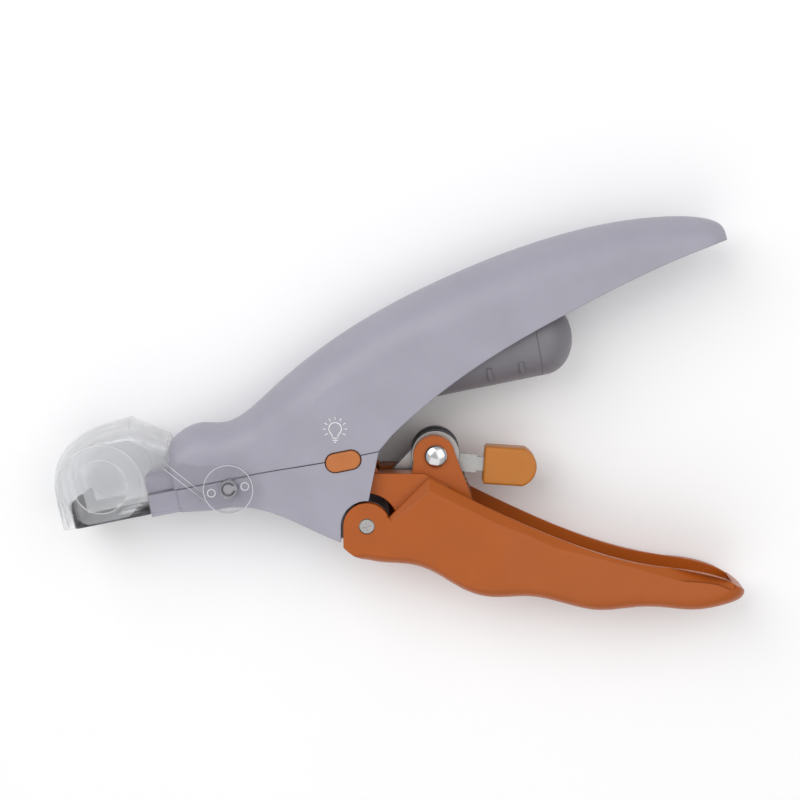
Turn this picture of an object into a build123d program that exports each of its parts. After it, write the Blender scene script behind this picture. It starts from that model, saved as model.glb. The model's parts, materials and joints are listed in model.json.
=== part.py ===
"""Guillotine nail trimmer with a lit nose, a clear guard and a battery tube under its upper handle.

Everything is drawn from the lever pivot: x runs back along the blade slide, y runs up towards the
upper handle's back, and z runs out of the side that holds the light button. The three plane helpers
below turn those into the row's frame, whose origin is under the middle of the tool lying on its side.
"""
import math
import os

from build123d import *

# ---- driving dimensions, in mm ----
HALF_WIDTH = 12.0  # mid-plane to the flat sides of the lever and hubs
CENTRE_X = 13.25  # middle of the whole tool, from the lever pivot
CENTRE_Y = 10.8
BUTTON_PROUD = 0.6

PARTING = 17.6  # height of the joint between the upper and lower shells
SEAM = 0.2  # open line between the shells' walls
WALL = 1.8
NOSE_HALF = 8.4  # half the body's width under the guard's arms
FLARE_START = -25.0
FLARE_END = -6.0
TAPER_START = 40.0
HANDLE_END = 100.6
TIP_HALF = 7.2

HUB = (-31.5, 15.8)  # guard pivot
HUB_RADIUS = 6.0
HUB_PIN_RADIUS = 2.2
RUNNING = 0.05  # radial clearance of the turning fits

HOOD_HALF = 10.0
HOOD_WALL = 1.2
HOOD_LOW = 13.4
LENS_CENTRE = (-62.2, 22.5)
LENS_RADIUS = 10.2

PLATE_LOW = 12.9
PLATE_THICK = 0.8
BLADE_LOW = PLATE_LOW + PLATE_THICK + 0.05
BLADE_THICK = 0.9
BLADE_HALF = 4.3
BLADE_EDGE = -55.4
NAIL_OPENING = -58.7  # middle of the nail opening
CARRIAGE_LOW = BLADE_LOW + BLADE_THICK
CARRIAGE_TOP = 17.3
RAIL_INNER = 4.7
SPRING_AXIS = 20.9  # the return spring lies along the slide above the carriage
SPRING_FRONT = -42.45
SPRING_POST = -28.0

DRIVE_PIN = (1.5, 14.5)
DRIVE_PIN_RADIUS = 1.4

LATCH_PIVOT = (20.0, 13.0)
LATCH_ANGLE = -15.5  # slope of the thumb shank
EAR_CENTRE = (19.6, 13.0)
EAR_RADIUS = 5.2
EAR_INNER = 4.5
EAR_OUTER = 7.0
DRUM_RADIUS = 6.0  # spacers between the latch and the ears
WASHER = 0.3

BOSS_RADIUS = 5.8
LUG_RADIUS = 5.5
LUG_INNER = 7.0
LUG_OUTER = 9.3
CHEEK_INNER = 9.6
SLEEVE_RADIUS = 2.5

TUBE_AXIS = 36.3
TUBE_RADIUS = 9.6
TUBE_BORE = 8.7
TUBE_START = 10.5
TUBE_END = 50.0
CAP_END = 59.1
CELL_RADIUS = 8.5

BUTTON = (-2.4, 17.1)
BUTTON_SIZE = (8.6, 4.6)
LED_AXIS = 17.0
BOARD_INNER = 6.6  # inner face of the light's circuit board


def side(z=0.0):
    """Plane parallel to the mid-plane and z above it, with its origin on the lever pivot."""
    return Plane(origin=(-CENTRE_X, -CENTRE_Y, HALF_WIDTH + z))


def across(x):
    """Plane across the tool at x: its first axis is the width and its second is y."""
    return Plane(
        origin=(x - CENTRE_X, -CENTRE_Y, HALF_WIDTH), x_dir=(0, 0, -1), z_dir=(1, 0, 0)
    )


def level(y):
    """Plane level with the blade slide at y: its first axis is x and its second is the width."""
    return Plane(
        origin=(-CENTRE_X, y - CENTRE_Y, HALF_WIDTH), x_dir=(1, 0, 0), z_dir=(0, 1, 0)
    )


def smooth_step(x, start, end):
    """Rise from 0 to 1 between start and end, with level ends."""
    t = min(max((x - start) / (end - start), 0.0), 1.0)
    return t * t * (3.0 - 2.0 * t)


def body_half(x):
    """Half the body's width at x: slim at the nose, full at the grip and slim at the tip."""
    if x < TAPER_START:
        return NOSE_HALF + (HALF_WIDTH - NOSE_HALF) * smooth_step(x, FLARE_START, FLARE_END)
    run = (x - TAPER_START) / (HANDLE_END - TAPER_START)
    return HALF_WIDTH - (HALF_WIDTH - TIP_HALF) * run**1.4


def arch(x, low, crest, half):
    """Section with upright sides and an elliptical top."""
    rise = 0.9 * half
    with BuildSketch(across(x)) as section:
        with BuildLine():
            Line((half, low), (half, crest - rise))
            EllipticalCenterArc((0, crest - rise), half, rise, start_angle=0, arc_size=180)
            Polyline((-half, crest - rise), (-half, low), (half, low))
        make_face()
    return section.sketch


def tub(x, low, high, half, corner):
    """Section with upright sides and a flat bottom with round corners."""
    with BuildSketch(across(x)) as section:
        with Locations((0, high)):
            Rectangle(2 * half, high - low, align=(Align.CENTER, Align.MAX))
        fillet(section.vertices().group_by(Axis.Y)[0], corner)
    return section.sketch


def vault(x, low, shoulder, crest, half):
    """Section with upright sides and a roof that is one arc."""
    with BuildSketch(across(x)) as section:
        with BuildLine():
            Line((half, low), (half, shoulder))
            ThreePointArc((half, shoulder), (0, crest), (-half, shoulder))
            Polyline((-half, shoulder), (-half, low), (half, low))
        make_face()
    return section.sketch


def wire_run(points, radius):
    """Round wire along straight runs joined by arcs, through points given as (x, y, z)."""
    placed = [(x - CENTRE_X, y - CENTRE_Y, HALF_WIDTH + z) for x, y, z in points]
    with BuildPart() as wire:
        with BuildLine() as route:
            FilletPolyline(*placed, radius=1.2)
        with BuildSketch(route.line ^ 0):
            Circle(radius)
        sweep()
    return wire.part


def screw_seat(x, y, z, up=1):
    """Plane under a screw's head at x, y, z, facing up or down."""
    return Plane(
        origin=(x - CENTRE_X, y - CENTRE_Y, HALF_WIDTH + z), x_dir=(1, 0, 0), z_dir=(0, up, 0)
    )


def screw(plane, head_radius, head_height, shank_radius, length):
    """Cross-head screw whose head stands on the plane and whose shank runs against its normal."""
    with BuildPart() as one_screw:
        with BuildSketch(plane):
            Circle(head_radius)
        extrude(amount=head_height)
        with BuildSketch(plane):
            Circle(shank_radius)
        extrude(amount=-length)
        with BuildSketch(plane.offset(head_height)):
            Rectangle(head_radius * 1.3, head_radius * 0.28)
            Rectangle(head_radius * 0.28, head_radius * 1.3)
        extrude(amount=-head_height * 0.6, mode=Mode.SUBTRACT)
    return one_screw.part


def finish(name, node):
    """Label a finished piece and write it."""
    name.part.label = node
    export_step(name.part, f"parts/{node}.step")


os.makedirs("parts", exist_ok=True)

# ---- body outline ----
# Stations along the body: x, crest height, and how far the section is drawn in to round the nose.
CREST = [
    (-45.2, 27.2, 1.0),
    (-44.4, 28.7, 0.3),
    (-42.5, 30.2, 0.0),
    (-39.5, 31.5, 0.0),
    (-35.5, 31.8, 0.0),
    (-30.5, 30.8, 0.0),
    (-26.5, 31.5, 0.0),
    (-17.0, 36.7, 0.0),
    (-6.5, 42.5, 0.0),
    (4.0, 47.2, 0.0),
    (26.5, 54.3, 0.0),
    (51.5, 59.1, 0.0),
    (76.0, 60.4, 0.0),
    (90.0, 58.8, 0.0),
    (96.5, 57.0, 0.2),
    (99.4, 55.4, 1.6),
    (HANDLE_END, 53.8, 3.6),
]
# Underside of the upper shell behind the body: where the handle's side walls end.
HANDLE_EDGE = [(10.6, 21.0), (24.1, 28.8), (40.4, 35.9), (59.6, 42.1), (84.9, 48.6), (98.4, 50.9)]
# Underside of the lower shell, from the nose to the pivot lugs: x and height.
BELLY = [(-45.2, 12.1), (-36.4, 10.9), (-25.3, 8.8), (-18.8, 5.2), (-10.6, -0.3), (-4.0, -4.4), (6.0, -8.6)]
SKIRT = 10.0  # the arches are drawn down to here and then trimmed

BODY_REAR_TOP = (7.1, 18.85)
BODY_REAR_LOW = (1.7, 6.17)

# Screw positions along and across the body.
NOSE_SCREWS = [(-48.0, -5.4), (-48.0, 5.4)]
FRONT_SCREWS = [(-38.0, -5.8), (-38.0, 5.8)]
REAR_SCREWS = [(-16.5, -6.9), (-16.5, 6.9)]

with BuildPart() as upper_shell:
    loft(sections=[arch(x, SKIRT, crest, body_half(x) - inset) for x, crest, inset in CREST])
    inner = [
        arch(max(x, CREST[0][0] + WALL), SKIRT, crest - WALL, body_half(x) - WALL)
        for x, crest, inset in CREST
        if inset == 0.0
    ]
    loft(sections=inner, ruled=True, mode=Mode.SUBTRACT)
    with BuildSketch(across(-52.0)):
        with BuildLine():
            Polyline((-6.2, PARTING - 3), (-6.2, 20.6), (-4.8, 22.0), (4.8, 22.0), (6.2, 20.6))
            Polyline((6.2, 20.6), (6.2, PARTING - 3), (-6.2, PARTING - 3))
        make_face()
    extrude(amount=7.5)
    # Rings under the roof that hold the battery tube.
    for rib_x in (17.0, 41.0):
        crest = 51.6 if rib_x < 30 else 57.4
        add(extrude(arch(rib_x, TUBE_AXIS, crest - WALL / 2, body_half(rib_x) - WALL / 2), 1.6))
    with BuildSketch(across(TUBE_START - 1.0)):
        with Locations((0, TUBE_AXIS)):
            Circle(TUBE_RADIUS + RUNNING)
    extrude(amount=CAP_END + 7.0 - TUBE_START, mode=Mode.SUBTRACT)
    # Pegs for the light board.
    with BuildSketch(side(7.6)):
        with Locations((-7.0, 25.8), (4.2, 25.8)):
            Circle(1.2)
    extrude(amount=3.2)
    # Trim to the parting plane and to the handle's lower edge.
    with BuildSketch(side()):
        with BuildLine():
            Polyline((-60, PARTING + SEAM), (BODY_REAR_TOP[0] - 0.5, PARTING + SEAM), HANDLE_EDGE[0])
            Spline(*HANDLE_EDGE)
            Polyline(HANDLE_EDGE[-1], (104, 51.2), (104, 70), (-60, 70), (-60, PARTING + SEAM))
        make_face()
    extrude(amount=HALF_WIDTH, both=True, mode=Mode.INTERSECT)
    # Screw towers that stand on the lower shell's bosses.
    for spots, tower_radius, hole_radius, height in (
        (FRONT_SCREWS, 1.5, 0.85, 8.0),
        (REAR_SCREWS, 2.2, 0.95, 12.0),
    ):
        with BuildSketch(level(PARTING)):
            with Locations(*spots):
                Circle(tower_radius)
        extrude(amount=height)
        with BuildSketch(level(PARTING)):
            with Locations(*spots):
                Circle(hole_radius)
        extrude(amount=height - 3.0, mode=Mode.SUBTRACT)
    # Light bore, wire space behind it and wire notches in the front wall.
    with BuildSketch(across(-53)):
        with Locations((0, LED_AXIS)):
            Circle(1.55)
    extrude(amount=12, mode=Mode.SUBTRACT)
    with BuildSketch(level(PARTING)):
        with Locations((-47.2, 0)):
            Rectangle(4.4, 10.4)
        with Locations((-44.5, 4.5), (-44.5, -4.5)):
            Rectangle(4.0, 1.6)
    extrude(amount=3.3, mode=Mode.SUBTRACT)
    # Guard pin holes and the button's window.
    with BuildSketch(side()):
        with Locations(HUB):
            Circle(HUB_PIN_RADIUS)
    extrude(amount=20, both=True, mode=Mode.SUBTRACT)
    with BuildSketch(side(9)):
        with Locations(BUTTON):
            SlotOverall(BUTTON_SIZE[0] + 0.5, BUTTON_SIZE[1] + 0.5)
    extrude(amount=5, mode=Mode.SUBTRACT)
finish(upper_shell, "upper_shell")


def belly_block(inset):
    """Solid of the lower shell's outline, drawn in by inset all round but open at the parting plane."""
    rear = (9.5, PARTING)
    with BuildPart() as block:
        with BuildSketch(side()):
            with BuildLine():
                front = (BELLY[0][0] + inset, PARTING)
                points = [(x + inset * 0.4, low + inset) for x, low in BELLY]
                Line(front, (front[0], points[0][1]))
                Line((front[0], points[0][1]), points[1])
                Spline(*points[1:])
                Polyline(points[-1], (rear[0], points[-1][1]), rear, front)
            make_face()
        extrude(amount=HALF_WIDTH - inset, both=True)
        with BuildSketch(level(-20)):
            with BuildLine():
                half = NOSE_HALF - inset
                full = HALF_WIDTH - inset
                Polyline((front[0], 0), (front[0], half - 1.0), (front[0] + 1.0, half), (FLARE_START, half))
                Spline((FLARE_START, half), (FLARE_END, full), tangents=((1, 0), (1, 0)))
                Polyline((FLARE_END, full), (12, full), (12, 0))
                mirror(about=Plane.XZ)
            make_face()
        extrude(amount=45, mode=Mode.INTERSECT)
    return block.part


NECK = [(-3.6, 5.3), (-6.9, 9.8), (-12.5, 7.5), (-12.5, 2.4), (-7.6, -0.9), (-5.5, -3.4)]
with BuildPart() as lower_shell:
    add(belly_block(0.0))
    add(belly_block(WALL), mode=Mode.SUBTRACT)
    # Nose and its floor, rails that guide the carriage, and bosses for the shell screws.
    with BuildSketch(level(12.1)):
        with Locations((-52.0, 0)):
            Rectangle(16.5, 15.2, align=(Align.MIN, Align.CENTER))
    extrude(amount=PLATE_LOW - 12.1)
    with BuildSketch(level(PLATE_LOW)):
        with Locations((-52.0, 0)):
            Rectangle(8.6, 15.2, align=(Align.MIN, Align.CENTER))
    extrude(amount=PARTING - PLATE_LOW)
    for way in (-1, 1):
        with BuildSketch(level(PLATE_LOW + PLATE_THICK)):
            with Locations((-43.6, way * (RAIL_INNER + 1.15))):
                Rectangle(24.0, 2.3, align=(Align.MIN, Align.CENTER))
        extrude(amount=PARTING - PLATE_LOW - PLATE_THICK)
    with BuildSketch(level(5.0)):
        with Locations(*REAR_SCREWS):
            Circle(2.2)
    extrude(amount=PARTING - 5.0)
    # Necks that join the pivot lugs to the side walls.
    for way in (-1, 1):
        with BuildSketch(side(way * LUG_INNER)):
            Polygon(*NECK, align=None)
        extrude(amount=way * (LUG_OUTER - LUG_INNER + 1.4))
    # Clear of the lever's bosses, and open behind the rear edge.
    with BuildSketch(side()):
        Polygon(
            (-7.4, -4.4), (-7.4, -20), (40, -20), (40, 18.85), BODY_REAR_TOP, BODY_REAR_LOW, (0, 0),
            (-6.28, 1.28),
            align=None,
        )
        Circle(BOSS_RADIUS + 0.6)
    extrude(amount=20, both=True, mode=Mode.SUBTRACT)
    for way in (-1, 1):
        with BuildSketch(side(way * LUG_INNER)):
            Circle(LUG_RADIUS)
            Polygon((0, 0), (-4.8, 4.8), (-6.9, 1.3), (-7.2, -2.0), (-4.0, -3.0), align=None)
        extrude(amount=way * (LUG_OUTER - LUG_INNER))
    # Slot for the fixed blade, and the way for the moving blade and its carriage.
    with BuildSketch(level(PLATE_LOW)):
        with Locations((-52.5, 0)):
            Rectangle(17.0, 13.2, align=(Align.MIN, Align.CENTER))
    extrude(amount=PLATE_THICK, mode=Mode.SUBTRACT)
    with BuildSketch(level(PLATE_LOW + PLATE_THICK)):
        with Locations((-52.5, 0)):
            Rectangle(12.0, 2 * RAIL_INNER, align=(Align.MIN, Align.CENTER))
    extrude(amount=BLADE_THICK + 0.3, mode=Mode.SUBTRACT)
    # The light's bore, and screw ways from below.
    with BuildSketch(across(-53)):
        with Locations((0, LED_AXIS)):
            Circle(1.55)
    extrude(amount=9.8, mode=Mode.SUBTRACT)
    with BuildSketch(level(0)):
        with Locations(*NOSE_SCREWS, *FRONT_SCREWS):
            Circle(0.85)
        with Locations(*REAR_SCREWS):
            Circle(0.95)
    extrude(amount=PARTING, mode=Mode.SUBTRACT)
    with BuildSketch(level(0)):
        with Locations(*NOSE_SCREWS, *FRONT_SCREWS):
            Circle(1.65)
    extrude(amount=PLATE_LOW, mode=Mode.SUBTRACT)
    with BuildSketch(level(0)):
        with Locations(*REAR_SCREWS):
            Circle(1.75)
    extrude(amount=8.0, mode=Mode.SUBTRACT)
    # Guard pin holes, pivot holes and the button's window.
    with BuildSketch(side()):
        with Locations(HUB):
            Circle(HUB_PIN_RADIUS)
        Circle(SLEEVE_RADIUS + RUNNING)
    extrude(amount=20, both=True, mode=Mode.SUBTRACT)
    with BuildSketch(side(9)):
        with Locations(BUTTON):
            SlotOverall(BUTTON_SIZE[0] + 0.5, BUTTON_SIZE[1] + 0.5)
    extrude(amount=5, mode=Mode.SUBTRACT)
finish(lower_shell, "lower_shell")

# ---- lever ----
# Stations along the lever's underside, with its finger grooves: x, height and half width.
LEVER_BELLY = [
    (-7.5, -10.4, 12.4),
    (1.2, -10.0, 12.4),
    (9.9, -12.7, 12.4),
    (15.2, -16.4, 12.4),
    (20.4, -21.1, 12.4),
    (26.0, -24.1, 12.3),
    (34.8, -25.9, 11.7),
    (43.3, -29.4, 11.1),
    (50.4, -32.8, 10.6),
    (60.9, -34.6, 9.9),
    (67.0, -35.8, 9.6),
    (74.0, -38.0, 9.2),
    (82.0, -38.9, 8.6),
    (86.5, -38.7, 7.5),
    (89.2, -37.9, 5.2),
]
LEVER_PEAK = (17.3, 8.5)
LEVER_RIM = [LEVER_PEAK, (26.4, 1.2), (45.9, -13.1), (67.4, -24.7), (85.8, -32.9), (89.3, -36.4)]
LUG_CLEAR = 7.75  # radius kept clear of the body's lugs
LEVER_WALL = 2.3
LEVER_FLOOR = 2.4
NOTCH = (BOSS_RADIUS * math.cos(math.radians(9)), BOSS_RADIUS * math.sin(math.radians(9)))
BOSS_LEFT = (BOSS_RADIUS * math.cos(math.radians(168)), BOSS_RADIUS * math.sin(math.radians(168)))

# Bevel along the rim's outer corners: x, y, half width of the lever there, and the bevel's width.
FRONT_BEVEL = [(*NOTCH, 12.0, 1.0), (18.1, 9.03, 12.0, 2.6)]
TOP_BEVEL = [
    (15.8, 9.7, 12.0, 2.6),
    (26.4, 1.2, 12.0, 2.4),
    (36.0, -5.9, 11.6, 2.2),
    (45.9, -13.1, 10.9, 2.0),
    (67.4, -24.7, 9.6, 1.6),
    (87.0, -34.0, 7.4, 1.2),
]


def rim_bevel(stations, way):
    """Wedge that takes the outer corner off the lever's rim on one side."""
    sections = []
    for i, (x, y, half, width) in enumerate(stations):
        before = stations[max(i - 1, 0)]
        after = stations[min(i + 1, len(stations) - 1)]
        run_x, run_y = after[0] - before[0], after[1] - before[1]
        plane = Plane(
            origin=(x - CENTRE_X, y - CENTRE_Y, HALF_WIDTH + way * half),
            x_dir=(-run_y, run_x, 0),
            z_dir=(run_x, run_y, 0),
        )
        depth = 0.8 * width
        with BuildSketch(plane) as section:
            Polygon(
                (-1.3 * width, way * 0.3 * depth),
                (0.3 * width, way * -1.3 * depth),
                (0.3 * width + 1.0, way * (0.3 * depth + 1.0)),
                align=None,
            )
        sections.append(section.sketch)
    return loft(sections=sections, ruled=True, mode=Mode.PRIVATE)


with BuildPart() as lever:
    loft(sections=[tub(x, low, 20.0, half, 4.0) for x, low, half in LEVER_BELLY])
    with BuildSketch(side()):
        with BuildLine():
            ThreePointArc(NOTCH, (0, BOSS_RADIUS), BOSS_LEFT)
            Line(BOSS_LEFT, (-6.7, -4.0))
            ThreePointArc((-6.7, -4.0), (-3.4, -7.7), (1.2, -9.9))
            Polyline((1.2, -9.9), (1.2, -45), (95, -45), (95, -36.4), LEVER_RIM[-1])
            Spline(*LEVER_RIM)
            Line(LEVER_PEAK, NOTCH)
        make_face()
    extrude(amount=HALF_WIDTH, both=True, mode=Mode.INTERSECT)
    # Channel and cross ribs.
    channel = [(x, low, half) for x, low, half in LEVER_BELLY if 18 < x < 87]
    loft(
        sections=[
            tub(x, low + LEVER_FLOOR, 22.0, min(half - LEVER_WALL, 9.8), 2.0)
            for x, low, half in channel
        ],
        mode=Mode.SUBTRACT,
    )
    for rib_x, rib_low, rib_top in ((61.0, -33.6, -26.5), (70.2, -35.2, -30.5)):
        add(extrude(tub(rib_x, rib_low, rib_top, 7.4, 0.5), 1.4))
    # Clear of the body's lugs inside the bosses.
    with BuildSketch(side()):
        Circle(LUG_CLEAR)
        Polygon((-20, 20), (-2.5, 20), (-2.5, -20), (-20, -20), align=None)
    extrude(amount=CHEEK_INNER, both=True, mode=Mode.SUBTRACT)
    # Front block between the walls, with the ears and the drive arms.
    for way in (-1, 1):
        with BuildSketch(side(way * 3.1)):
            Polygon((5.2, 11.9), (16.4, 9.5), (21.5, 5.5), (22.5, -8), (6, -8), align=None)
            Circle(LUG_CLEAR, mode=Mode.SUBTRACT)
        extrude(amount=way * 5.9)
        with BuildSketch(side(way * 4.7)):
            Polygon((-0.5, 13.0), (5.2, 11.9), (8, 5), (-0.5, 5), align=None)
            Circle(LUG_CLEAR, mode=Mode.SUBTRACT)
        extrude(amount=way * 4.3)
        with BuildSketch(side(way * 8.5)):
            Polygon((8.2, -8), (8.2, 1.6), (17.3, 7.0), (20.4, 4.0), (20.4, -14), align=None)
        extrude(amount=way * 2.4)
        with BuildSketch(side(way * EAR_INNER)):
            with Locations(EAR_CENTRE):
                Circle(EAR_RADIUS)
            Polygon(
                (14.4, 12.9), (13.4, 9.9), (16.5, -4), (27.0, -4), (26.4, 3.2), (24.8, 12.6),
                align=None,
            )
        extrude(amount=way * (EAR_OUTER - EAR_INNER))
        with BuildSketch(side(way * 5.4)):
            with Locations(DRIVE_PIN):
                Circle(2.6)
            Polygon((-0.9, 13.4), (4.6, 7.9), (9, 6.5), (9, 11.1), (5.4, 11.9), (3.9, 15.5), align=None)
            Circle(LUG_CLEAR, mode=Mode.SUBTRACT)
        extrude(amount=way * 2.5)
    # Seat for the latch spring.
    with BuildSketch(side()):
        Polygon((20, 2.4), (26.8, 2.4), (26.8, -0.6), (20, 0.4), align=None)
    extrude(amount=5.0, both=True)
    # Slot for the latch, and the pivot, rivet and drive pin holes.
    with BuildSketch(side()):
        Polygon((-2, 6), (-2, 20), (30, 20), (30, 5.6), (21.0, 7.0), (19.0, -1.0), (6, -1.0), align=None)
    extrude(amount=3.1, both=True, mode=Mode.SUBTRACT)
    with BuildSketch(side()):
        with Locations(LATCH_PIVOT):
            Circle(DRUM_RADIUS + 0.2)
    extrude(amount=EAR_INNER, both=True, mode=Mode.SUBTRACT)
    with BuildSketch(side()):
        Circle(SLEEVE_RADIUS)
        with Locations(LATCH_PIVOT):
            Circle(SLEEVE_RADIUS)
    extrude(amount=11.0, both=True, mode=Mode.SUBTRACT)
    with BuildSketch(side()):
        Circle(1.95)
        with Locations(DRIVE_PIN):
            Circle(DRIVE_PIN_RADIUS)
    extrude(amount=HALF_WIDTH + 1, both=True, mode=Mode.SUBTRACT)
    bevels = []
    for way in (-1, 1):
        bevels.append(rim_bevel(FRONT_BEVEL, way))
        bevels.append(rim_bevel(TOP_BEVEL, way))
    add(bevels, mode=Mode.SUBTRACT)
finish(lever, "lever")

with BuildPart() as pivot_sleeve:
    with BuildSketch(side()):
        Circle(SLEEVE_RADIUS)
        Circle(1.25, mode=Mode.SUBTRACT)
    extrude(amount=11.0, both=True)
finish(pivot_sleeve, "pivot_sleeve")

with BuildPart() as pivot_screws:
    add(screw(side(11.0), 1.7, 0.8, 1.2, 6.0))
    mirror(about=side())
finish(pivot_screws, "pivot_screws")

with BuildPart() as drive_pin:
    with BuildSketch(side()):
        with Locations(DRIVE_PIN):
            Circle(DRIVE_PIN_RADIUS)
    extrude(amount=8.1, both=True)
finish(drive_pin, "drive_pin")

# ---- latch ----
shank_turn = math.radians(LATCH_ANGLE)


def along_shank(run, rise):
    """Point at run along the thumb shank's axis and rise above it."""
    x = 37.6 + run * math.cos(shank_turn) - rise * math.sin(shank_turn)
    y = 5.9 + run * math.sin(shank_turn) + rise * math.cos(shank_turn)
    return (x, y)


with BuildPart() as latch_plate:
    with BuildSketch(side()):
        with Locations(LATCH_PIVOT):
            Circle(4.9)
        # Hook arm, its upper edge level with the ring's rim.
        Polygon((17.2, 17.0), (7.4, 9.9), (6.9, 8.4), (8.4, 6.4), (10.6, 7.6), (22.0, 9.6), align=None)
        # Thumb shank, stepped down where it enters the knob.
        Polygon(
            along_shank(-16.5, 2.25), along_shank(-8.4, 2.25), along_shank(-8.4, 1.7),
            along_shank(-2.0, 1.7), along_shank(-2.0, -1.7), along_shank(-8.4, -1.7),
            along_shank(-8.4, -2.25), along_shank(-16.5, -2.25),
            align=None,
        )
        with Locations(LATCH_PIVOT):
            Circle(SLEEVE_RADIUS + RUNNING, mode=Mode.SUBTRACT)
    extrude(amount=1.2, both=True)
finish(latch_plate, "latch_plate")

with BuildPart() as latch_knob:
    with BuildSketch(side()):
        with BuildLine():
            Polyline(along_shank(3.4, 4.8), along_shank(-6.6, 4.8), along_shank(-6.6, -4.8),
                     along_shank(3.4, -4.8))
            ThreePointArc(along_shank(3.4, -4.8), along_shank(6.7, 0), along_shank(3.4, 4.8))
        make_face()
    extrude(amount=3.0, both=True)
    fillet(latch_knob.edges(), 0.8)
    with BuildSketch(side()):
        Polygon(
            along_shank(-8, 1.72), along_shank(-2.0, 1.72), along_shank(-2.0, -1.72),
            along_shank(-8, -1.72),
            align=None,
        )
    extrude(amount=1.22, both=True, mode=Mode.SUBTRACT)
finish(latch_knob, "latch_knob")

with BuildPart() as latch_rivet:
    with BuildSketch(side()):
        with Locations(LATCH_PIVOT):
            Circle(SLEEVE_RADIUS)
    extrude(amount=EAR_OUTER, both=True)
    for way in (-1, 1):
        with BuildSketch(side(way * EAR_OUTER)):
            with Locations(LATCH_PIVOT):
                Circle(2.95)
        extrude(amount=way * 1.7)
    rims = latch_rivet.edges().filter_by(GeomType.CIRCLE).sort_by(Axis.Z)
    fillet([rims[0], rims[-1]], 1.5)
finish(latch_rivet, "latch_rivet")

with BuildPart() as latch_spacers:
    with BuildSketch(side(1.25)):
        with Locations(LATCH_PIVOT):
            Circle(DRUM_RADIUS)
            Circle(SLEEVE_RADIUS + RUNNING, mode=Mode.SUBTRACT)
    extrude(amount=EAR_INNER - WASHER - 1.25)
    mirror(about=side())
finish(latch_spacers, "latch_spacers")

with BuildPart() as latch_washers:
    with BuildSketch(side(EAR_INNER - WASHER)):
        with Locations(LATCH_PIVOT):
            Circle(DRUM_RADIUS - 0.1)
            Circle(SLEEVE_RADIUS + RUNNING, mode=Mode.SUBTRACT)
    extrude(amount=WASHER)
    mirror(about=side())
finish(latch_washers, "latch_washers")

LATCH_SPRING_FOOT = (24.6, 2.4)
with BuildPart() as latch_spring:
    with BuildSketch(level(LATCH_SPRING_FOOT[1])):
        with Locations((LATCH_SPRING_FOOT[0], 0)):
            Circle(1.7)
            Circle(1.1, mode=Mode.SUBTRACT)
    extrude(amount=4.3)
finish(latch_spring, "latch_spring")

# ---- clear guard ----
# Stations along the guard's roof: x, shoulder height, crest height and half width.
HOOD_FRONT = [
    (-74.1, 22.5, 26.8, 8.0),
    (-73.3, 25.2, 29.3, 9.2),
    (-71.4, 28.2, 31.7, 9.8),
    (-67.6, 31.4, 34.3, HOOD_HALF),
    (-63.0, 32.8, 35.9, HOOD_HALF),
    (-58.0, 33.1, 36.6, HOOD_HALF),
    (-53.0, 32.9, 36.9, HOOD_HALF),
]
HOOD_REAR = [HOOD_FRONT[-1], (-44.6, 25.6, 31.1, HOOD_HALF)]
ARM_IN = 8.8
ARM_OUT = HOOD_HALF
DIMPLE_TOP = 9.7
DIMPLE_RADIUS = 24.6



def hood_cavity(x, shoulder, crest, half):
    """Section of the space inside the guard where its outside has the given station."""
    return vault(
        x, HOOD_LOW - 1, shoulder - HOOD_WALL * 0.6, crest - HOOD_WALL, half - HOOD_WALL
    )


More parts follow.
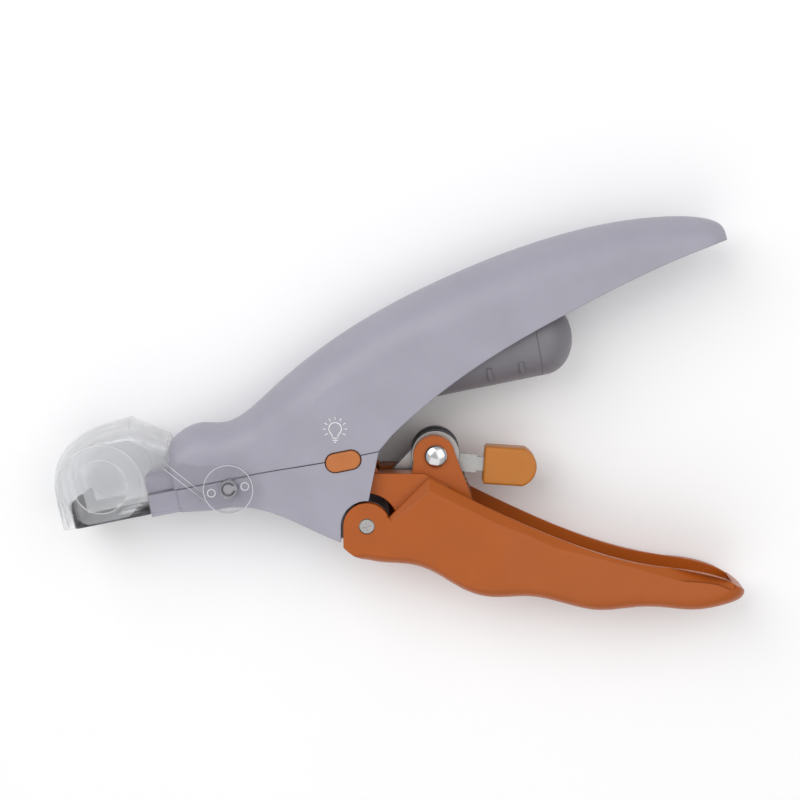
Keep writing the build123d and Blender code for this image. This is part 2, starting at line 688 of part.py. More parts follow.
with BuildPart() as clear_hood:
    loft(sections=[vault(x, HOOD_LOW, *station) for x, *station in HOOD_FRONT])
    loft(sections=[vault(x, HOOD_LOW, *station) for x, *station in HOOD_REAR], ruled=True)
    front_wall = HOOD_FRONT[0][0] + HOOD_WALL
    inner = [hood_cavity(front_wall, *HOOD_FRONT[1][1:])]
    inner += [hood_cavity(*station) for station in HOOD_FRONT[2:]]
    loft(sections=inner, mode=Mode.SUBTRACT)
    loft(sections=[hood_cavity(*station) for station in HOOD_REAR], ruled=True, mode=Mode.SUBTRACT)
    for way in (-1, 1):
        # Arm back to the hub, hub disc, brace rib and domed lens.
        with BuildSketch(side(way * ARM_IN)):
            Polygon(
                (-52.0, HOOD_LOW), (-37.4, 12.9), (-31.5, 9.8), (-27, 15), (-31.5, 21.8),
                (-33.7, 21.8), (-39.1, 22.9), (-41.9, 24.4), (-45.2, 26.1), (-52.0, 30.0),
                align=None,
            )
        extrude(amount=way * (ARM_OUT - ARM_IN))
        with BuildSketch(side(way * ARM_IN)):
            with Locations(HUB):
                Circle(HUB_RADIUS)
        extrude(amount=way * (HALF_WIDTH - ARM_IN))
        with BuildSketch(side(way * ARM_OUT)):
            with BuildLine():
                Line((-46.2, 24.8), (-36.9, 13.6))
            trace(line_width=1.1)
        extrude(amount=way * 0.5)
        with BuildSketch(side(way * (HALF_WIDTH - 0.5))):
            with Locations((HUB[0] - 4.2, HUB[1]), (HUB[0] + 4.2, HUB[1])):
                Circle(1.0)
                Circle(0.6, mode=Mode.SUBTRACT)
        extrude(amount=way * 1.0, mode=Mode.SUBTRACT)
    dome_height = 2.0
    dome_radius = (LENS_RADIUS**2 + dome_height**2) / (2 * dome_height)
    for way in (-1, 1):
        lens_plane = side(way * (HALF_WIDTH - dome_radius))
        with BuildPart(lens_plane, mode=Mode.PRIVATE) as lens:
            with Locations((*LENS_CENTRE, 0)):
                Sphere(dome_radius)
            split(bisect_by=side(way * (HOOD_HALF - 0.3)), keep=Keep.TOP if way > 0 else Keep.BOTTOM)
            split(bisect_by=level(HOOD_LOW), keep=Keep.TOP)
        add(lens.part)
        # Dimple inside the lens.
        with BuildPart(side(way * (DIMPLE_TOP - DIMPLE_RADIUS)), mode=Mode.PRIVATE) as dimple:
            with Locations((*LENS_CENTRE, 0)):
                Sphere(DIMPLE_RADIUS)
            split(bisect_by=side(way * (ARM_IN - 0.2)), keep=Keep.TOP if way > 0 else Keep.BOTTOM)
        add(dimple.part, mode=Mode.SUBTRACT)
    with BuildSketch(side()):
        with Locations(HUB):
            Circle(HUB_PIN_RADIUS + RUNNING)
    extrude(amount=20, both=True, mode=Mode.SUBTRACT)
finish(clear_hood, "clear_hood")

with BuildPart() as hood_pins:
    with BuildSketch(side(6.9)):
        with Locations(HUB):
            Circle(HUB_PIN_RADIUS)
    extrude(amount=4.6)
    with BuildSketch(side(11.5)):
        with Locations(HUB):
            Circle(1.75)
            Circle(1.25, mode=Mode.SUBTRACT)
        with Locations((HUB[0] + 1.5, HUB[1])):
            Rectangle(1.4, 1.2, mode=Mode.SUBTRACT)
    extrude(amount=-0.8, mode=Mode.SUBTRACT)
    mirror(about=side())
finish(hood_pins, "hood_pins")

# ---- cutting end ----
with BuildPart() as fixed_blade:
    with BuildSketch(level(PLATE_LOW)):
        with Locations((-71.2, 0)):
            Rectangle(19.0, 15.5, align=(Align.MIN, Align.CENTER))
        with Locations((-52.5, 0)):
            Rectangle(16.9, 13.2, align=(Align.MIN, Align.CENTER))
        with Locations((NAIL_OPENING, 0)):
            SlotOverall(9.0, 6.2, rotation=90, mode=Mode.SUBTRACT)
        with Locations(*NOSE_SCREWS, *FRONT_SCREWS):
            Circle(0.85, mode=Mode.SUBTRACT)
    extrude(amount=PLATE_THICK)
    with BuildSketch(level(PLATE_LOW)):
        with Locations((-71.2, 0)):
            Rectangle(0.8, 15.5, align=(Align.MIN, Align.CENTER))
    extrude(amount=6.3)
    fillet(fixed_blade.edges().filter_by(Axis.X).group_by(Axis.Y)[-1], 2.4)
    fillet(fixed_blade.edges().filter_by(Axis.Z).group_by(Axis.X)[0].sort_by(Axis.Y)[0], 0.7)
finish(fixed_blade, "fixed_blade")

BLADE_SCREWS = [(-35.2, 0.0), (-32.2, 0.0)]

with BuildPart() as moving_blade:
    with BuildSketch(level(BLADE_LOW)):
        with Locations((BLADE_EDGE, 0)):
            Rectangle(24.4, 2 * BLADE_HALF, align=(Align.MIN, Align.CENTER))
        with Locations(*BLADE_SCREWS):
            Circle(0.9, mode=Mode.SUBTRACT)
    extrude(amount=BLADE_THICK)
    cutting = moving_blade.edges().filter_by(Axis.Z).group_by(Axis.X)[0].sort_by(Axis.Y)[-1]
    chamfer(cutting, length=BLADE_THICK - 0.1, length2=2.6)
finish(moving_blade, "moving_blade")

with BuildPart() as blade_carriage:
    with BuildSketch(level(CARRIAGE_LOW)):
        with Locations((-37.4, 0)):
            Rectangle(37.0, 2 * BLADE_HALF, align=(Align.MIN, Align.CENTER))
    extrude(amount=CARRIAGE_TOP - CARRIAGE_LOW)
    with BuildSketch(side()):
        Polygon(
            (-6.0, CARRIAGE_TOP), (-6.0, 14.0), (-2.6, 10.9), (4.4, 10.9), (4.4, CARRIAGE_TOP),
            align=None,
        )
    extrude(amount=BLADE_HALF, both=True)
    # Post that the return spring pushes on, with a spigot inside the coil.
    with BuildSketch(level(CARRIAGE_TOP)):
        with Locations((SPRING_POST, 0)):
            Rectangle(2.4, 6.4, align=(Align.MIN, Align.CENTER))
    extrude(amount=6.4)
    with BuildSketch(across(SPRING_POST)):
        with Locations((0, SPRING_AXIS)):
            Circle(1.4)
    extrude(amount=-3.0)
    with BuildSketch(side()):
        with Locations((DRIVE_PIN[0], DRIVE_PIN[1] - 0.2)):
            SlotOverall(4.4, 2 * DRIVE_PIN_RADIUS + 0.7, rotation=90)
    extrude(amount=10, both=True, mode=Mode.SUBTRACT)
    with BuildSketch(level(CARRIAGE_LOW)):
        with Locations(*BLADE_SCREWS):
            Circle(0.9)
    extrude(amount=10, mode=Mode.SUBTRACT)
finish(blade_carriage, "blade_carriage")

with BuildPart() as blade_screws:
    for x, z in BLADE_SCREWS:
        add(screw(screw_seat(x, CARRIAGE_TOP, z), 1.4, 0.7, 0.88, CARRIAGE_TOP - BLADE_LOW - 0.05))
finish(blade_screws, "blade_screws")

with BuildPart() as plate_screws:
    for x, z in NOSE_SCREWS:
        add(screw(screw_seat(x, PLATE_LOW, z, -1), 1.5, 0.75, 0.83, 3.9))
finish(plate_screws, "plate_screws")

with BuildPart() as shell_screws:
    for x, z in FRONT_SCREWS:
        add(screw(screw_seat(x, PLATE_LOW, z, -1), 1.5, 0.9, 0.83, 9.0))
    for x, z in REAR_SCREWS:
        add(screw(screw_seat(x, 8.0, z, -1), 1.6, 0.9, 0.93, 16.0))
finish(shell_screws, "shell_screws")

with BuildPart() as return_spring:
    with BuildSketch(across(SPRING_FRONT)):
        with Locations((0, SPRING_AXIS)):
            Circle(2.5)
            Circle(1.7, mode=Mode.SUBTRACT)
    extrude(amount=SPRING_POST - 0.05 - SPRING_FRONT)
finish(return_spring, "return_spring")

# ---- light ----
with BuildPart() as led:
    with BuildSketch(across(-53.4)):
        with Locations((0, LED_AXIS)):
            Circle(1.5)
    extrude(amount=4.6)
    nose = led.edges().filter_by(GeomType.CIRCLE).sort_by(Axis.X)[0]
    fillet(nose, 1.4)
    with BuildSketch(across(-49.4)):
        with Locations((0, LED_AXIS)):
            Circle(1.5)
    extrude(amount=0.9)
finish(led, "led")

with BuildPart() as led_leads:
    for way in (-1, 1):
        add(
            wire_run(
                [
                    (-48.45, LED_AXIS, way * 0.7),
                    (-46.9, LED_AXIS, way * 0.7),
                    (-46.4, 19.4, way * 0.9),
                    (-45.9, 19.5, way * 4.5),
                    (-41.8, 19.5, way * 4.5),
                    (-40.9, 25.0, way * 3.0),
                    (-22.0, 25.2, way * 2.0),
                    (-7.6, 24.0 + way * 1.4, way * 2.0),
                    (-7.6, 24.0 + way * 1.4, BOARD_INNER - 0.02),
                ],
                0.4,
            )
        )
finish(led_leads, "led_leads")

with BuildPart() as light_board:
    with BuildSketch(side(BOARD_INNER)):
        with Locations((-1.5, 23.2)):
            Rectangle(15.0, 8.8)
    extrude(amount=1.0)
finish(light_board, "light_board")

with BuildPart() as push_switch:
    with BuildSketch(side(7.6)):
        with Locations((BUTTON[0], 21.4)):
            Rectangle(4.5, 4.5)
    extrude(amount=0.6)
    with BuildSketch(side(8.2)):
        with Locations((BUTTON[0], 20.6)):
            Circle(1.0)
    extrude(amount=0.35)
finish(push_switch, "push_switch")

with BuildPart() as light_button:
    with BuildSketch(side(9.9)):
        with Locations(BUTTON):
            SlotOverall(*BUTTON_SIZE)
    extrude(amount=HALF_WIDTH + BUTTON_PROUD - 9.9)
    top = light_button.faces().sort_by(Axis.Z)[-1].edges()
    fillet(top, 0.5)
    with BuildSketch(side(9.3)):
        with Locations(BUTTON):
            SlotOverall(BUTTON_SIZE[0] + 1.6, BUTTON_SIZE[1] + 1.6)
        with Locations((BUTTON[0], 20.0)):
            Rectangle(3.0, 4.0)
    extrude(amount=0.7)
finish(light_button, "light_button")

# ---- battery tube ----
def tube_section(start, end, outer, inner):
    """Round tube on the battery axis between two stations."""
    with BuildPart() as piece:
        with BuildSketch(across(start)):
            with Locations((0, TUBE_AXIS)):
                Circle(outer)
                if inner:
                    Circle(inner, mode=Mode.SUBTRACT)
        extrude(amount=end - start)
    return piece.part


with BuildPart() as battery_tube:
    add(tube_section(TUBE_START, TUBE_START + 1.2, TUBE_RADIUS, 1.2))
    add(tube_section(TUBE_START + 1.2, TUBE_END, TUBE_RADIUS, TUBE_BORE))
    # Two raised grip arcs low on each side, just inboard of the cap.
    for x in (36.5, 44.5):
        for way in (-1, 1):
            with BuildSketch(across(x)):
                with BuildLine():
                    CenterArc((0, TUBE_AXIS), TUBE_RADIUS + 0.2, -90 + way * 52 - 12, 24)
                trace(line_width=0.6)
            extrude(amount=1.0)
finish(battery_tube, "battery_tube")

with BuildPart() as battery_cap:
    with BuildSketch(side()):
        with BuildLine():
            Line((TUBE_END + 0.05, TUBE_AXIS), (TUBE_END + 0.05, TUBE_AXIS + TUBE_RADIUS))
            Line((TUBE_END + 0.05, TUBE_AXIS + TUBE_RADIUS), (TUBE_END + 1.2, TUBE_AXIS + TUBE_RADIUS))
            EllipticalCenterArc(
                (TUBE_END + 1.2, TUBE_AXIS), CAP_END - TUBE_END - 1.2, TUBE_RADIUS,
                start_angle=0, arc_size=90,
            )
            Line((CAP_END, TUBE_AXIS), (TUBE_END + 0.05, TUBE_AXIS))
        make_face()
    revolve(axis=Axis((-CENTRE_X, TUBE_AXIS - CENTRE_Y, HALF_WIDTH), (1, 0, 0)))
    add(tube_section(TUBE_END - 3.0, TUBE_END + 0.6, TUBE_BORE - RUNNING, 7.4))
    with BuildSketch(across(TUBE_END)):
        with Locations((0, TUBE_AXIS)):
            Circle(7.4)
    extrude(amount=3.6, mode=Mode.SUBTRACT)
finish(battery_cap, "battery_cap")

with BuildPart() as battery_cell:
    add(tube_section(12.4, 46.9, CELL_RADIUS, None))
    add(tube_section(46.9, 47.6, 3.2, None))
finish(battery_cell, "battery_cell")

with BuildPart() as front_contact:
    add(tube_section(TUBE_START + 1.25, 12.35, 6.0, None))
finish(front_contact, "front_contact")

with BuildPart() as cap_spring:
    add(tube_section(47.65, TUBE_END + 3.55, 3.6, 2.9))
finish(cap_spring, "cap_spring")

with BuildPart() as battery_leads:
    for way in (-1, 1):
        add(
            wire_run(
                [
                    (TUBE_START - 0.05, 33.0, way * 1.6),
                    (7.6, 33.0, way * 1.6),
                    (4.0, 24.0 + way * 1.6, way * 1.6),
                    (4.0, 24.0 + way * 1.6, BOARD_INNER - 0.02),
                ],
                0.4,
            )
        )
finish(battery_leads, "battery_leads")
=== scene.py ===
"""Looks of the pet nail trimmer: materials, coil springs, rivet, guard lines, light's mark, lights, camera."""
import json
import math

import bmesh
import bpy
from mathutils import Matrix, Vector


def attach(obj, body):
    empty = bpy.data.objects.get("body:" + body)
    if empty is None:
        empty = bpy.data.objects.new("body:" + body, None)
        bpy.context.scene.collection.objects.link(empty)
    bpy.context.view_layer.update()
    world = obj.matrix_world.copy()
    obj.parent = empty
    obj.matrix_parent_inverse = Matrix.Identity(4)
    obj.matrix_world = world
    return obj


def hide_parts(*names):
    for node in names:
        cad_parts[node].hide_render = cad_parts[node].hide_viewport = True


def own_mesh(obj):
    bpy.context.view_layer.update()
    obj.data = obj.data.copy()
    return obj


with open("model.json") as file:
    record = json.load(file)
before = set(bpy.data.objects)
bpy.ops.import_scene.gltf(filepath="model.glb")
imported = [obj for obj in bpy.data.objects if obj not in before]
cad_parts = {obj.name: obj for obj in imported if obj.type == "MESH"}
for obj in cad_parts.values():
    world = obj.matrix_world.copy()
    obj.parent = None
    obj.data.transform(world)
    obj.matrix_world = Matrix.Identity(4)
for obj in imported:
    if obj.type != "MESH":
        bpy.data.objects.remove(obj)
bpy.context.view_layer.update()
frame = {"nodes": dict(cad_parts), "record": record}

NODES = frame["nodes"]

# The lever pivot in the row frame, in mm. Positions below are given from it, as (x, y, z from the mid-plane).
PIVOT = Vector((-13.25, -10.8, 12.0))
MM = 0.001
EDGE_RADIUS = 0.0004  # of the rounding that plastic edges show, in metres


def at(x, y, z=0.0):
    """Row-frame point, in metres, of a point given in mm from the lever pivot."""
    return (PIVOT + Vector((x, y, z))) * MM


# ---------------------------------------------------------------- materials
def linear(rgb):
    """Linear colour of an sRGB colour given as 0 to 255."""
    out = []
    for value in rgb:
        share = value / 255.0
        out.append(share / 12.92 if share <= 0.04045 else ((share + 0.055) / 1.055) ** 2.4)
    return (*out, 1.0)


class Graph:
    """Short way to add and join nodes in one material."""

    def __init__(self, name):
        self.material = bpy.data.materials.new(name)
        self.material.use_nodes = True
        self.tree = self.material.node_tree
        self.shader = self.tree.nodes["Principled BSDF"]
        self.place = self.add("ShaderNodeTexCoord").outputs["Object"]

    def add(self, kind, **values):
        node = self.tree.nodes.new(kind)
        for key, value in values.items():
            if hasattr(node, key):
                setattr(node, key, value)
            else:
                node.inputs[key].default_value = value
        return node

    def join(self, start, end):
        self.tree.links.new(start, end)

    def noise(self, scale, detail=3.0, roughness=0.55, stretch=None):
        node = self.add("ShaderNodeTexNoise", Scale=scale, Detail=detail, Roughness=roughness)
        if stretch:
            mapping = self.add("ShaderNodeMapping")
            mapping.inputs["Scale"].default_value = stretch
            self.join(self.place, mapping.inputs["Vector"])
            self.join(mapping.outputs["Vector"], node.inputs["Vector"])
        else:
            self.join(self.place, node.inputs["Vector"])
        return node.outputs["Fac"]

    def between(self, value, low, high):
        node = self.add("ShaderNodeMapRange")
        node.inputs["From Min"].default_value = 0.3
        node.inputs["From Max"].default_value = 0.7
        node.inputs["To Min"].default_value = low
        node.inputs["To Max"].default_value = high
        self.join(value, node.inputs["Value"])
        return node.outputs["Result"]

    def mottle(self, rgb, spread, scale):
        """Base colour that drifts a little over the surface."""
        base = linear(rgb)
        mix = self.add("ShaderNodeMix", data_type="RGBA")
        mix.inputs[6].default_value = (*[v * (1 - spread) for v in base[:3]], 1.0)
        mix.inputs[7].default_value = (*[min(v * (1 + spread), 1.0) for v in base[:3]], 1.0)
        self.join(self.between(self.noise(scale, 4.0), 0.0, 1.0), mix.inputs[0])
        self.join(mix.outputs[2], self.shader.inputs["Base Color"])

    def grain(self, scale, depth, strength=0.5, stretch=None, soft=False):
        """Fine surface relief of the given depth in metres, with edges that look rounded where soft."""
        bump = self.add("ShaderNodeBump", Strength=strength, Distance=depth)
        if soft:
            rounded = self.add("ShaderNodeBevel", samples=6, Radius=EDGE_RADIUS)
            self.join(rounded.outputs["Normal"], bump.inputs["Normal"])
        self.join(self.noise(scale, 5.0, 0.6, stretch), bump.inputs["Height"])
        self.join(bump.outputs["Normal"], self.shader.inputs["Normal"])


def plastic(name, rgb, rough=0.45, grain=0.5, spread=0.04):
    graph = Graph(name)
    graph.mottle(rgb, spread, 90.0)
    graph.join(graph.between(graph.noise(700.0), rough - 0.05, rough + 0.06), graph.shader.inputs["Roughness"])
    graph.grain(4200.0, 0.00003, grain, soft=True)
    graph.shader.inputs["IOR"].default_value = 1.48
    graph.shader.inputs["Specular IOR Level"].default_value = 0.42
    return graph.material


def metal(name, rgb, rough=0.3, brushed=None):
    graph = Graph(name)
    graph.mottle(rgb, 0.06, 240.0)
    graph.shader.inputs["Metallic"].default_value = 1.0
    graph.join(
        graph.between(graph.noise(1500.0, 4.0, 0.6, brushed), rough - 0.07, rough + 0.08),
        graph.shader.inputs["Roughness"],
    )
    graph.grain(2600.0, 0.00001, 0.35, brushed)
    return graph.material


def clear(name, rgb, rough=0.03):
    """Thin clear plastic: some light passes straight through and the rest is bent and reflected."""
    graph = Graph(name)
    shader = graph.shader
    shader.inputs["Base Color"].default_value = linear(rgb)
    shader.inputs["Transmission Weight"].default_value = 1.0
    shader.inputs["IOR"].default_value = 1.46
    graph.join(graph.between(graph.noise(160.0), rough, rough + 0.03), shader.inputs["Roughness"])
    graph.grain(300.0, 0.00004, 0.12)
    passing = graph.add("ShaderNodeBsdfTransparent")
    mix = graph.add("ShaderNodeMixShader")
    mix.inputs[0].default_value = 0.42
    output = graph.tree.nodes["Material Output"]
    graph.join(passing.outputs[0], mix.inputs[1])
    graph.join(shader.outputs[0], mix.inputs[2])
    graph.join(mix.outputs[0], output.inputs["Surface"])
    return graph.material


LOOKS = {
    "grey_plastic": plastic("grey_plastic", (160, 158, 170), 0.44, 0.45),
    "orange_plastic": plastic("orange_plastic", (170, 84, 20), 0.36, 0.3),
    "button_plastic": plastic("button_plastic", (188, 112, 58), 0.4, 0.3),
    "knob_plastic": plastic("knob_plastic", (188, 116, 44), 0.36, 0.3),
    "dark_plastic": plastic("dark_plastic", (120, 117, 123), 0.4, 0.4),
    "black_plastic": plastic("black_plastic", (44, 43, 45), 0.45, 0.3),
    "clear_plastic": clear("clear_plastic", (246, 247, 249)),
    # Opaque near-white for the guard's raised lines: a painted highlight standing in for light caught on the
    # clear guard's edges and rims.
    "painted_edge_highlight": plastic("painted_edge_highlight", (236, 236, 239), 0.12, 0.05, 0.02),
    "white_lens": plastic("white_lens", (236, 236, 230), 0.12, 0.05, 0.02),
    "green_board": plastic("green_board", (38, 92, 58), 0.3, 0.3),
    "wire_red": plastic("wire_red", (150, 36, 30), 0.35, 0.1),
    "wire_black": plastic("wire_black", (34, 34, 36), 0.35, 0.1),
    "cell_jacket": plastic("cell_jacket", (62, 74, 118), 0.25, 0.05),
    "brass_contact": metal("brass_contact", (205, 170, 96), 0.25),
    "steel": metal("steel", (188, 186, 184), 0.3, (1.0, 14.0, 1.0)),
    "bright_steel": metal("bright_steel", (214, 213, 214), 0.14),
    "blade_steel": metal("blade_steel", (74, 72, 76), 0.34, (1.0, 1.0, 16.0)),
    "dark_steel": metal("dark_steel", (112, 110, 114), 0.34),
    "grey_metal": plastic("grey_metal", (150, 148, 154), 0.35, 0.1),
    "mark_print": plastic("mark_print", (245, 244, 246), 0.5, 0.05, 0.01),
}
for entry in frame["record"]["subparts"]:
    holder = NODES[entry["node"]]
    holder.data.materials.clear()
    holder.data.materials.append(LOOKS[entry["material_slot"]])


# ---------------------------------------------------------------- mesh helpers
def new_piece(name, mesh, look, body, slot, *replaced):
    """Named piece with a material that rides on a body and may stand for CAD nodes."""
    piece = bpy.data.objects.new(name, mesh)
    bpy.context.scene.collection.objects.link(piece)
    mesh.materials.clear()
    mesh.materials.append(LOOKS[look])
    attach(piece, body)
    if replaced:
        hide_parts(*replaced)
    return piece


def tube_mesh(name, points, radius, sides=10):
    """Closed round wire through the points."""
    build = bmesh.new()
    rings = []
    normal = None
    for i, point in enumerate(points):
        ahead = points[min(i + 1, len(points) - 1)]
        behind = points[max(i - 1, 0)]
        way = (ahead - behind).normalized()
        if normal is None:
            normal = way.orthogonal().normalized()
        normal = (normal - way * normal.dot(way)).normalized()
        other = way.cross(normal)
        ring = []
        for k in range(sides):
            angle = 2 * math.pi * k / sides
            ring.append(build.verts.new(point + (normal * math.cos(angle) + other * math.sin(angle)) * radius))
        rings.append(ring)
    for first, second in zip(rings, rings[1:]):
        for k in range(sides):
            j = (k + 1) % sides
            build.faces.new((first[k], first[j], second[j], second[k]))
    build.faces.new(list(reversed(rings[0])))
    build.faces.new(rings[-1])
    bmesh.ops.recalc_face_normals(build, faces=build.faces)
    mesh = bpy.data.meshes.new(name)
    build.to_mesh(mesh)
    build.free()
    mesh.shade_smooth()
    return mesh


def coil_points(start, end, radius, turns, wire, steps=22):
    """Helix from start to end whose end turns lie flat."""
    axis = (end - start).normalized()
    first = axis.orthogonal().normalized()
    second = axis.cross(first)
    length = (end - start).length - 2 * wire
    total = int(turns * steps)
    points = []
    for i in range(total + 1):
        turn = i / steps
        flat = 0.9
        if turn < flat:
            run = 0.12 * turn / flat * (length / turns)
        elif turn > turns - flat:
            run = length - 0.12 * (turns - turn) / flat * (length / turns)
        else:
            low, high = 0.12 * length / turns, length - 0.12 * length / turns
            run = low + (high - low) * (turn - flat) / (turns - 2 * flat)
        angle = 2 * math.pi * turn
        points.append(
            start + axis * (run + wire) + (first * math.cos(angle) + second * math.sin(angle)) * radius
        )
    return points


# ---------------------------------------------------------------- springs
def spring(name, start, end, outer, wire, turns, body, *replaced):
    points = coil_points(start, end, (outer - wire) * MM, turns, wire * MM)
    return new_piece(name, tube_mesh(name, points, wire * MM), "steel", body, "steel", *replaced)


RETURN_FRONT = at(-42.45, 20.9)
RETURN_BACK = at(-28.05, 20.9)
LATCH_FOOT = at(24.6, 2.4)
LATCH_TOP = at(24.6, 6.7)
CAP_START = at(47.65, 36.3)
CAP_END = at(53.55, 36.3)

# Outer radius, wire radius and turns of each coil, in mm.
return_coil = spring("return_spring_coil", RETURN_FRONT, RETURN_BACK, 2.5, 0.36, 8.0, "body", "return_spring")
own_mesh(return_coil)
latch_coil = spring("latch_spring_coil", LATCH_FOOT, LATCH_TOP, 1.7, 0.28, 5.0, "lever", "latch_spring")
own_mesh(latch_coil)
spring("cap_spring_coil", CAP_START, CAP_END, 3.6, 0.35, 4.5, "cap", "cap_spring")

# ---------------------------------------------------------------- turned pieces
SHARP_ANGLE = math.radians(35)


def turned_mesh(name, places, profile, sides=64):
    """Solid of revolution about lines along Z, from (radius, height) pairs in mm, at each place."""
    build = bmesh.new()
    for x, y in places:
        rings = []
        for radius, height in profile:
            if radius == 0:
                rings.append([build.verts.new(at(x, y, height))])
                continue
            rings.append([
                build.verts.new(at(
                    x + radius * math.cos(2 * math.pi * k / sides),
                    y + radius * math.sin(2 * math.pi * k / sides),
                    height,
                ))
                for k in range(sides)
            ])
        for first, second in zip(rings, rings[1:]):
            for k in range(sides):
                j = (k + 1) % sides
                corners = [first[k % len(first)], first[j % len(first)]]
                corners += [second[j % len(second)], second[k % len(second)]]
                build.faces.new(list(dict.fromkeys(corners)))
    bmesh.ops.recalc_face_normals(build, faces=build.faces)
    for edge in build.edges:
        edge.smooth = edge.calc_face_angle(0.0) < SHARP_ANGLE
    for face in build.faces:
        face.smooth = True
    mesh = bpy.data.meshes.new(name)
    build.to_mesh(mesh)
    build.free()
    return mesh


LATCH_PIVOT = (20.0, 13.0)
SHANK_RADIUS = 2.45
HEAD_RADIUS = 2.9
HEAD_LOW = 7.0  # underside of the rivet's head, from the mid-plane
RIM_HIGH = 7.25
HEAD_HIGH = 8.65


def domed_rivet():
    """Rivet with a domed head at each end."""
    half = [(SHANK_RADIUS, HEAD_LOW), (HEAD_RADIUS, HEAD_LOW)]
    for degrees in range(0, 90, 9):
        angle = math.radians(degrees)
        half.append((HEAD_RADIUS * math.cos(angle), RIM_HIGH + (HEAD_HIGH - RIM_HIGH) * math.sin(angle)))
    half.append((0, HEAD_HIGH))
    profile = [(radius, -height) for radius, height in reversed(half)] + half
    mesh = turned_mesh("domed_rivet", [LATCH_PIVOT], profile)
    return new_piece("domed_rivet", mesh, "bright_steel", "lever", "bright_steel", "latch_rivet")


domed_rivet()

# ---------------------------------------------------------------- raised lines on the clear guard, coloured near-white as painted edge highlights
HUB = (-31.5, 15.8)
SPANNER_STEP = 4.2
LENS_CENTRE = (-62.2, 22.5)
LENS_INNER = 6.6
LENS_OUTER = 10.15
GUARD_FACE = 12.0  # outer face of the guard's hub discs, from the mid-plane
ARM_FACE = 10.0  # outer face of its arms
BRACE_FACE = 10.5  # outer face of the brace on each arm
LENS_INNER_HIGH = 11.2  # lens surface on its inner circle


def circle_points(centre, radius, height, start=0.0, sweep=360.0, count=48):
    """Points on an arc in a plane parallel to the mid-plane, angles in degrees."""
    points = []
    for k in range(count + 1):
        angle = math.radians(start + sweep * k / count)
        points.append(at(centre[0] + radius * math.cos(angle), centre[1] + radius * math.sin(angle), height))
    return points


def joined(name, meshes):
    """One mesh from several."""
    build = bmesh.new()
    for mesh in meshes:
        build.from_mesh(mesh)
    mesh = bpy.data.meshes.new(name)
    build.to_mesh(mesh)
    build.free()
    mesh.shade_smooth()
    return mesh


def guard_lines(way):
    """Raised lines on one side of the guard, as (points, radius in mm): hub, spanner rings, lens and brace."""
    face = way * GUARD_FACE
    lines = [
        (circle_points(HUB, 6.05, face), 0.1),
        (circle_points((HUB[0] - SPANNER_STEP, HUB[1]), 0.95, face), 0.12),
        (circle_points((HUB[0] + SPANNER_STEP, HUB[1]), 0.95, face), 0.12),
        (circle_points(LENS_CENTRE, LENS_INNER, way * LENS_INNER_HIGH), 0.1),
        (circle_points(LENS_CENTRE, LENS_OUTER, way * (ARM_FACE + 0.05), -40.0, 255.0), 0.1),
    ]
    for aside in (-0.45, 0.45):
        upper = at(-46.0 + aside, 24.7 + aside, way * BRACE_FACE)
        lower = at(-37.0 + aside, 13.8 + aside, way * BRACE_FACE)
        lines.append(([upper, lower], 0.1))
    return lines


bead_meshes = []
for way in (-1, 1):
    for i, (points, radius) in enumerate(guard_lines(way)):
        bead_meshes.append(tube_mesh(f"bead_{way}_{i}", points, radius * MM, 8))
# The lines get the opaque near-white look, a painted highlight on the clear guard's edges.
new_piece("guard_beads", joined("guard_beads", bead_meshes), "painted_edge_highlight", "guard", "clear_plastic")

# ---------------------------------------------------------------- the light's mark
MARK_CENTRE = (-2.7, 25.2)
MARK_HIGH = 12.04  # top of the printed lines, from the mid-plane


def ribbon(build, points, width, closed=False):
    """Flat line of the given width through points in mm."""
    count = len(points)
    lefts, rights = [], []
    for i, (x, y) in enumerate(points):
        if closed:
            before, after = points[i - 1], points[(i + 1) % count]
        else:
            before, after = points[max(i - 1, 0)], points[min(i + 1, count - 1)]
        way = Vector((after[0] - before[0], after[1] - before[1])).normalized()
        aside = Vector((-way.y, way.x)) * width / 2
        lefts.append(build.verts.new(at(x + aside.x, y + aside.y, MARK_HIGH)))
        rights.append(build.verts.new(at(x - aside.x, y - aside.y, MARK_HIGH)))
    for i in range(count if closed else count - 1):
        j = (i + 1) % count
        build.faces.new((rights[i], rights[j], lefts[j], lefts[i]))


def light_mark():
    build = bmesh.new()
    lean = math.radians(-11.5)

    def turned(x, y):
        return (
            MARK_CENTRE[0] + x * math.cos(lean) - y * math.sin(lean),
            MARK_CENTRE[1] + x * math.sin(lean) + y * math.cos(lean),
        )

    width = 0.28
    bulb = []
    for i in range(25):
        angle = math.radians(-52 + 284 * i / 24)
        bulb.append((1.55 * math.cos(angle), 1.55 * math.sin(angle) + 0.2))
    bulb = [(0.62, -2.1), (0.66, -1.6)] + bulb + [(-0.66, -1.6), (-0.62, -2.1)]
    ribbon(build, [turned(x, y) for x, y in bulb], width)
    for low in (-2.15, -2.65, -3.1):
        half = 0.62 if low > -3 else 0.36
        ribbon(build, [turned(-half, low), turned(half, low)], width)
    for i in range(9):
        angle = math.radians(-32 + 244 * i / 8)
        ribbon(
            build,
            [
                turned(2.15 * math.cos(angle), 2.15 * math.sin(angle) + 0.2),
                turned(3.0 * math.cos(angle), 3.0 * math.sin(angle) + 0.2),
            ],
            width * 0.9,
        )
    bmesh.ops.recalc_face_normals(build, faces=build.faces)
    mesh = bpy.data.meshes.new("light_mark")
    build.to_mesh(mesh)
    build.free()
    mark = new_piece("light_mark", mesh, "mark_print", "body", "white_lens")
    thick = mark.modifiers.new("thickness", "SOLIDIFY")
    thick.thickness = 0.08 * MM
    thick.offset = -1.0
    return mark


light_mark()

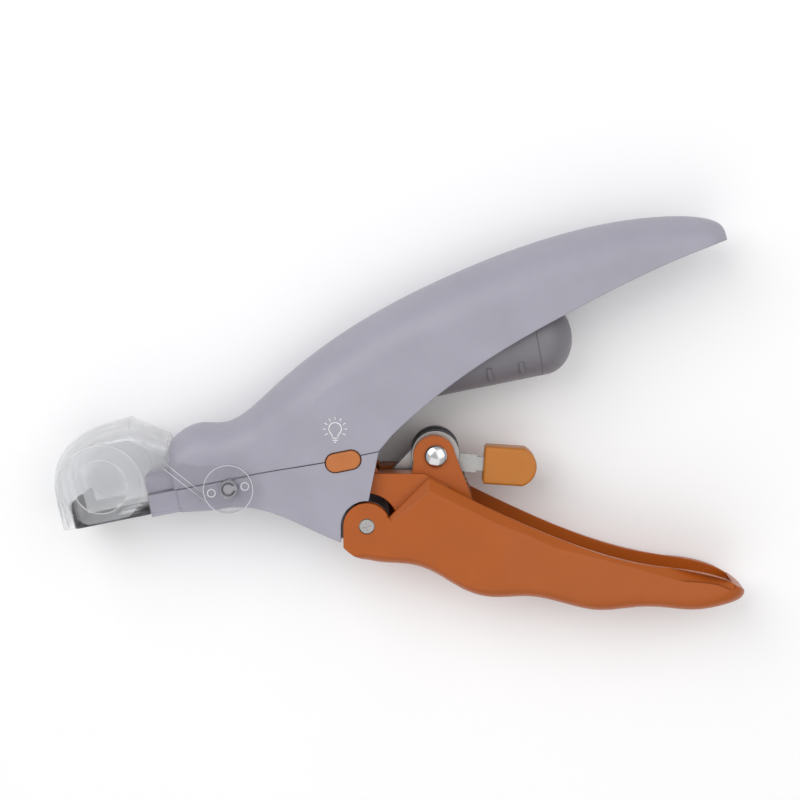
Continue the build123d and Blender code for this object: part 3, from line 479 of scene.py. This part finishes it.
# ---------------------------------------------------------------- floor, light and camera
floor_build = bmesh.new()
bmesh.ops.create_grid(floor_build, x_segments=4, y_segments=4, size=6.0)
floor_mesh = bpy.data.meshes.new("floor")
floor_build.to_mesh(floor_mesh)
floor_build.free()
floor = bpy.data.objects.new("floor", floor_mesh)
bpy.context.scene.collection.objects.link(floor)
floor_look = Graph("floor")
floor_look.mottle((250, 250, 251), 0.01, 6.0)
floor_look.shader.inputs["Roughness"].default_value = 0.9
floor_look.shader.inputs["Specular IOR Level"].default_value = 0.1
floor_mesh.materials.append(floor_look.material)


def soft_light(name, place, size, watts, tint=(1.0, 1.0, 1.0)):
    lamp = bpy.data.lights.new(name, "AREA")
    lamp.shape = "SQUARE"
    lamp.size = size
    lamp.energy = watts
    lamp.color = tint
    holder = bpy.data.objects.new(name, lamp)
    bpy.context.scene.collection.objects.link(holder)
    holder.location = place
    holder.rotation_euler = (Vector((0, 0.015, 0.01)) - Vector(place)).to_track_quat("-Z", "Y").to_euler()


soft_light("key", (-0.35, 0.55, 0.75), 0.75, 4.0)
soft_light("fill", (0.5, 0.1, 0.8), 0.9, 2.1)
soft_light("front", (-0.2, -0.5, 0.6), 0.8, 1.0)

world = bpy.data.worlds.new("studio")
bpy.context.scene.world = world
world.use_nodes = True
sky = world.node_tree.nodes["Background"]
coordinates = world.node_tree.nodes.new("ShaderNodeTexCoord")
split = world.node_tree.nodes.new("ShaderNodeSeparateXYZ")
ramp = world.node_tree.nodes.new("ShaderNodeValToRGB")
ramp.color_ramp.elements[0].position = 0.5
ramp.color_ramp.elements[0].color = (0.32, 0.32, 0.33, 1)
ramp.color_ramp.elements[1].position = 0.78
ramp.color_ramp.elements[1].color = (1, 1, 1, 1)
shift = world.node_tree.nodes.new("ShaderNodeMapRange")
shift.inputs["From Min"].default_value = -1.0
world.node_tree.links.new(coordinates.outputs["Generated"], split.inputs[0])
world.node_tree.links.new(split.outputs["Z"], shift.inputs["Value"])
world.node_tree.links.new(shift.outputs["Result"], ramp.inputs[0])
world.node_tree.links.new(ramp.outputs["Color"], sky.inputs["Color"])
sky.inputs["Strength"].default_value = 0.6

TARGET = Vector((0.69, 16.75, 12.0)) * MM
OFFSET = Vector((13.32, 65.46, 475.33)) * MM
UP = Vector((0.1975, 0.9704, -0.1392))
camera_data = bpy.data.cameras.new("camera")
camera_data.lens = 86.4
camera_data.sensor_width = 36.0
camera_data.clip_start = 0.01
camera = bpy.data.objects.new("camera", camera_data)
bpy.context.scene.collection.objects.link(camera)
back = OFFSET.normalized()
right = UP.cross(back).normalized()
upward = back.cross(right)
turn = Matrix((right, upward, back)).transposed().to_4x4()
camera.matrix_world = Matrix.Translation(TARGET + OFFSET) @ turn
bpy.context.scene.camera = camera
bpy.context.scene.view_settings.view_transform = "Standard"

bpy.context.view_layer.update()
